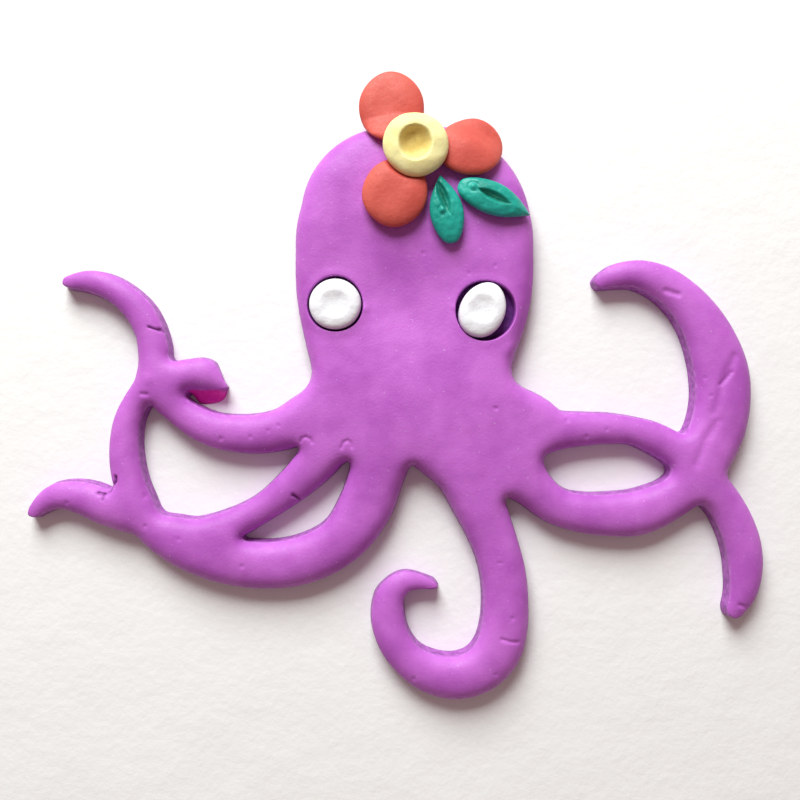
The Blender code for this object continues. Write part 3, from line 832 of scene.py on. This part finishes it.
def clay(name, dark, light, speck, roughness, glow, tints=()):
    """Matt modelling clay: a soft change of colour, fine grain, specks of dust and tinted places of
    painted shade and painted highlight.

    Each tint has the name of the number kept on the points, its two colours and its strength."""
    graph = Graph(name)
    colour = graph.mixed(graph.ranged(graph.noise(7.0), 0.35, 0.65, 0.0, 1.0), dark, light)
    dusty = graph.ranged(graph.noise(0.45, 2.0), 0.70, 0.76, 0.0, 0.55)
    colour = graph.mixed(dusty, colour, speck)
    grain = graph.noise(0.35, 4.0, 0.6)
    normal = graph.bump(graph.noise(1.6, 3.0), 0.03)
    normal = graph.bump(grain, 0.05, normal)
    rough = graph.ranged(grain, 0.3, 0.7, roughness - 0.08, roughness + 0.1)
    # a patchy mix between the two colours of each painted shade or highlight
    tint_mottling = graph.ranged(graph.noise(0.9, 3.0), 0.4, 0.6, 0.0, 1.0)
    for attribute, one, other, strength in tints:
        share = graph.ranged(graph.attribute(attribute), 0.0, 1.0, 0.0, strength)
        colour = graph.mixed(share, colour, graph.mixed(tint_mottling, one, other))
    graph.set(Base_Color=colour, Roughness=rough, Normal=normal)
    graph.set(Subsurface_Weight=0.12, Subsurface_Radius=glow, Subsurface_Scale=0.001)
    graph.set(Specular_IOR_Level=0.35)
    return graph.material


def paper():
    graph = Graph("paper")
    colour = graph.mixed(graph.noise(30.0, 2.0), (0.90, 0.893, 0.88), (0.93, 0.922, 0.91))
    normal = graph.bump(graph.noise(9.0, 2.0), 0.18)
    normal = graph.bump(graph.noise(1.3, 3.0, 0.6), 0.07, normal)
    graph.set(Base_Color=colour, Roughness=0.95, Normal=normal)
    return graph.material


# ---------------------------------------------------------------- paper, light and camera


def lay_paper():
    half = PAPER_SIZE / 2 * MM
    mesh = bpy.data.meshes.new("paper_sheet")
    corners = [(-half, -half, 0.0), (half, -half, 0.0), (half, half, 0.0), (-half, half, 0.0)]
    mesh.from_pydata(corners, [], [[0, 1, 2, 3]])
    mesh.materials.append(paper())
    sheet = bpy.data.objects.new("paper_sheet", mesh)
    sheet.location.z = -0.02 * MM
    bpy.context.scene.collection.objects.link(sheet)


def area_light(name, at, size, power, colour):
    data = bpy.data.lights.new(name, "AREA")
    data.shape = "SQUARE"
    data.size = size * MM
    data.energy = power
    data.color = colour
    light = bpy.data.objects.new(name, data)
    light.location = Vector(at) * MM
    light.rotation_euler = (-Vector(at)).to_track_quat("-Z", "Y").to_euler()
    bpy.context.scene.collection.objects.link(light)


def light_and_camera():
    scene = bpy.context.scene
    area_light("key", **KEY)
    world = bpy.data.worlds.new("studio")
    world.use_nodes = True
    background = world.node_tree.nodes["Background"]
    background.inputs["Color"].default_value = (*SKY, 1.0)
    background.inputs["Strength"].default_value = SKY_STRENGTH
    scene.world = world
    scene.view_settings.view_transform = "Standard"
    data = bpy.data.cameras.new("camera")
    data.sensor_width = SENSOR
    data.lens = SENSOR * (CAMERA_HEIGHT - VIEW_LEVEL) / VIEW_WIDTH
    data.clip_start = MM
    camera = bpy.data.objects.new("camera", data)
    camera.location = (CAMERA_AT[0] * MM, CAMERA_AT[1] * MM, CAMERA_HEIGHT * MM)
    scene.collection.objects.link(camera)
    scene.camera = camera


# ---------------------------------------------------------------- the scene

purple = clay(
    "purple_clay", (0.46, 0.10, 0.515), (0.58, 0.155, 0.635), (0.75, 0.45, 0.78), 0.5, (1.0, 0.3, 0.9),
    (
        # cut: painted shade, a darker purple on the sides of the cut edge
        ("cut", (0.30, 0.06, 0.35), (0.44, 0.118, 0.49), 1.0),
        # lean: painted shade, the saturated magenta of clay in shade lit by light bounced between clay
        # surfaces
        ("lean", (0.74, 0.02, 0.36), (0.84, 0.035, 0.43), 1.6),
        # rim: painted highlight, a light lilac line along the face's edge, mottled with a darker purple
        ("rim", (0.72, 0.32, 0.78), (0.42, 0.10, 0.48), 0.4),
        # dark: painted shade in deep pits and narrow pressed lines
        ("dark", (0.12, 0.01, 0.14), (0.2, 0.03, 0.22), 0.85),
        # painted shadow: dark indigo in the sockets around the eyes
        ("socket_shade", (0.08, 0.012, 0.15), (0.15, 0.02, 0.22), 1.0),
    ),
)
white = clay(
    "white_clay", (0.86, 0.86, 0.90), (0.91, 0.905, 0.935), (0.6, 0.55, 0.66), 0.42, (1.0, 1.0, 1.0)
)
coral = clay(
    "coral_clay", (0.58, 0.08, 0.06), (0.68, 0.12, 0.09), (0.5, 0.07, 0.06), 0.55, (1.0, 0.3, 0.2)
)
yellow = clay(
    "yellow_clay", (0.88, 0.78, 0.33), (0.94, 0.87, 0.46), (0.75, 0.5, 0.3), 0.5, (1.0, 0.8, 0.3),
    # painted shade: deeper gold inside the pressed dimple
    (("hollow_shade", (0.68, 0.47, 0.10), (0.78, 0.57, 0.15), 0.9),),
)
green = clay(
    "green_clay", (0.006, 0.27, 0.21), (0.02, 0.42, 0.34), (0.01, 0.10, 0.07), 0.36, (0.2, 1.0, 0.7),
    # painted shade: darker green inside the pressed slot
    (("hollow_shade", (0.006, 0.10, 0.05), (0.01, 0.17, 0.11), 0.75),),
)

body = body_piece(purple)
tree = BVHTree.FromPolygons(
    [tuple(v.co / MM) for v in body.data.vertices], [list(p.vertices) for p in body.data.polygons]
)
eye("left_eye", pebble_plan(unevenness=0.006), (0.0, -0.1), white)
eye("right_eye", pebble_plan(-24.0, 0.06, unevenness=0.006, stretch=1.14), (-0.1, 0.1), white)
for petal_node, petal_shape in PETALS.items():
    petal(petal_node, petal_shape, tree, coral)
flower_centre(tree, yellow)
for leaf_node, leaf_shape in LEAVES.items():
    leaf(leaf_node, leaf_shape, tree, green)
lay_paper()
light_and_camera()
